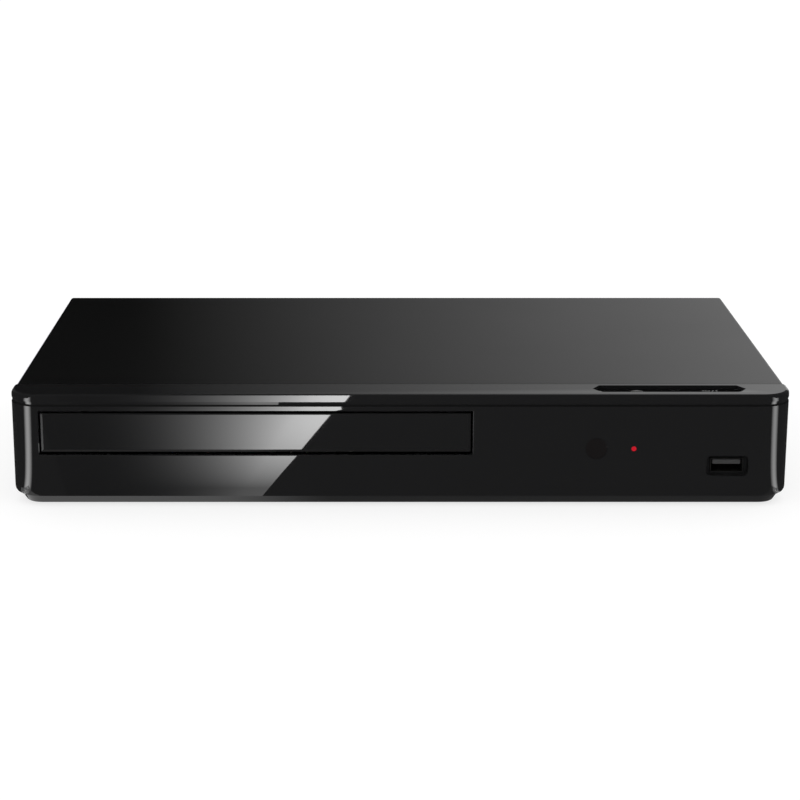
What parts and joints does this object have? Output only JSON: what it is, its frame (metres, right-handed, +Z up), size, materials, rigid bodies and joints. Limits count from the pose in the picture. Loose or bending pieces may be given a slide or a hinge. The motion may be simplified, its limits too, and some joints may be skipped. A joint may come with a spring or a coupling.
{
  "type": "blu-ray player",
  "caption": "Slim disc player with a glossy front panel, a motor driven disc tray, two push buttons, a tilting pickup unit, boards, and sockets front and rear.",
  "frame": {"origin": "middle of the footprint, on the surface that the feet stand on", "axes": "+X along the width to the button side, +Y to the rear panel, +Z up"},
  "size_m": [0.312, 0.18, 0.0465],
  "materials": {
    "panel_gloss_black": "high gloss black moulding",
    "cover_satin_black": "satin black powder coat on steel",
    "sheet_steel": "galvanised sheet steel",
    "rear_black": "matt black paint on steel",
    "screw_black": "black coated steel screws",
    "screw_steel": "zinc plated steel screws",
    "rod_steel": "ground steel",
    "drive_plastic": "black engineering plastic",
    "tray_plastic": "fine textured black plastic",
    "gear_plastic": "natural acetal",
    "damper_rubber": "soft rubber",
    "foot_rubber": "black rubber",
    "board_green": "glass fibre board with green mask",
    "board_tan": "paper board",
    "chip_black": "moulded chip package",
    "can_aluminium": "aluminium can",
    "sink_aluminium": "extruded aluminium",
    "motor_steel": "drawn steel can",
    "socket_metal": "plated shell",
    "socket_black": "black socket moulding",
    "tongue_black": "black moulded insulator",
    "core_ferrite": "ferrite core and yellow tape bobbin",
    "connector_white": "white nylon",
    "cable_white": "flat film cable",
    "wire_grey": "wire insulation",
    "window_smoke": "dark smoked acrylic",
    "lamp_red": "red tinted acrylic",
    "lens_glass": "coated lens",
    "turntable_metal": "turned aluminium with a plastic hub",
    "belt_rubber": "square section rubber belt"
  },
  "bodies": {
    "root": {"board_chips": "chip_black", "board_screws": "screw_steel", "bottom_chassis": "sheet_steel", "button_board": "board_tan", "button_switches": "chip_black", "cable_connectors": "connector_white", "case_screws": "screw_black", "clamp_bridge": "sheet_steel", "drive_board": "board_green", "drive_cable": "cable_white", "drive_dampers": "damper_rubber", "drive_frame": "drive_plastic", "drive_screws": "screw_steel", "feet": "foot_rubber", "front_board": "board_tan", "front_cable": "cable_white", "front_panel": "panel_gloss_black", "hdmi_socket": "socket_metal", "heat_sink": "sink_aluminium", "ir_receiver": "chip_black", "lan_socket": "socket_black", "led_lens": "lamp_red", "loading_belt": "belt_rubber", "loading_motor": "motor_steel", "main_board": "board_green", "main_board_capacitors": "can_aluminium", "mains_capacitor": "can_aluminium", "optical_socket": "socket_black", "output_capacitors": "can_aluminium", "power_board": "board_tan", "power_cable": "wire_grey", "power_inlet": "socket_black", "rear_panel": "rear_black", "sensor_window": "window_smoke", "standby_led": "lamp_red", "switching_heat_sink": "sink_aluminium", "top_cover": "cover_satin_black", "transformer": "core_ferrite", "usb_shell": "socket_metal", "usb_tongue": "tongue_black"},
    "tray": {"disc_tray": "tray_plastic", "tray_door": "panel_gloss_black"},
    "motor_pulley_body": {"motor_pulley": "gear_plastic"},
    "pulley_gear_body": {"pulley_gear": "gear_plastic"},
    "tray_gear_body": {"tray_gear": "gear_plastic"},
    "cam_slider_body": {"cam_slider": "gear_plastic"},
    "traverse": {"traverse_frame": "drive_plastic", "guide_rods": "rod_steel", "spindle_motor": "motor_steel", "feed_motor": "motor_steel"},
    "turntable_body": {"turntable": "turntable_metal"},
    "clamper_body": {"clamper": "drive_plastic"},
    "pickup": {"pickup_sled": "drive_plastic", "objective_lens": "lens_glass"},
    "feed_gear_body": {"feed_gear": "gear_plastic"},
    "feed_motor_gear_body": {"feed_motor_gear": "gear_plastic"},
    "open_close": {"open_close_button": "panel_gloss_black", "open_close_plunger": "connector_white"},
    "power": {"power_button": "panel_gloss_black", "power_plunger": "connector_white"}
  },
  "joints": [
    {"name": "tray_slide", "type": "slide", "parent": "root", "child": "tray", "axis": [0, -1, 0], "range_m": [0, 0.13]},
    {"name": "tray_gear_spin", "type": "hinge", "parent": "root", "child": "tray_gear_body", "pos_m": [-0.0236, -0.06, 0.0233], "axis": [0, 0, 1], "range_deg": [-625, 5]},
    {"name": "pulley_gear_spin", "type": "hinge", "parent": "root", "child": "pulley_gear_body", "pos_m": [-0.0416, -0.06, 0.0214], "axis": [0, 0, 1], "range_deg": [-5, 1250]},
    {"name": "motor_pulley_spin", "type": "hinge", "parent": "root", "child": "motor_pulley_body", "pos_m": [-0.0786, -0.06, 0.0197], "axis": [0, 0, 1], "range_deg": [-10, 5420]},
    {"name": "cam_slider_slide", "type": "slide", "parent": "root", "child": "cam_slider_body", "axis": [-1, 0, 0], "range_m": [0, 0.0201]},
    {"name": "traverse_tilt", "type": "hinge", "parent": "root", "child": "traverse", "pos_m": [-0.0576, 0.066, 0.02], "axis": [1, 0, 0], "range_deg": [0, 4.51]},
    {"name": "turntable_spin", "type": "hinge", "parent": "traverse", "child": "turntable_body", "pos_m": [-0.0576, -0.015, 0.0302], "axis": [0, 0, 1], "continuous": true},
    {"name": "clamper_spin", "type": "hinge", "parent": "root", "child": "clamper_body", "pos_m": [-0.0576, -0.015, 0.0368], "axis": [0, 0, 1], "continuous": true},
    {"name": "pickup_slide", "type": "slide", "parent": "traverse", "child": "pickup", "axis": [0, 1, 0], "range_m": [0, 0.035]},
    {"name": "feed_gear_spin", "type": "hinge", "parent": "traverse", "child": "feed_gear_body", "pos_m": [-0.0894, 0.02, 0.018], "axis": [0, 0, 1], "range_deg": [-2, 420]},
    {"name": "feed_motor_gear_spin", "type": "hinge", "parent": "traverse", "child": "feed_motor_gear_body", "pos_m": [-0.0894, 0.036, 0.0154], "axis": [0, 0, 1], "range_deg": [-1257, 2]},
    {"name": "open_close_press", "type": "slide", "parent": "root", "child": "open_close", "axis": [0, 0, -1], "range_m": [0, 0.0004], "stiffness_N_per_m": 2500},
    {"name": "power_press", "type": "slide", "parent": "root", "child": "power", "axis": [0, 0, -1], "range_m": [0, 0.0004], "stiffness_N_per_m": 2500}
  ],
  "couplings": [
    {"joint": "tray_gear_spin", "follows": "tray_slide", "rad_per_m": -83.333},
    {"joint": "pulley_gear_spin", "follows": "tray_slide", "rad_per_m": 166.67},
    {"joint": "motor_pulley_spin", "follows": "tray_slide", "rad_per_m": 726.19},
    {"joint": "cam_slider_slide", "follows": "tray_slide", "ratio": 0.15385},
    {"joint": "traverse_tilt", "follows": "tray_slide", "rad_per_m": 0.60415},
    {"joint": "clamper_spin", "follows": "turntable_spin", "ratio": 1},
    {"joint": "feed_gear_spin", "follows": "pickup_slide", "rad_per_m": 208.33},
    {"joint": "feed_motor_gear_spin", "follows": "pickup_slide", "rad_per_m": -625}
  ]
}
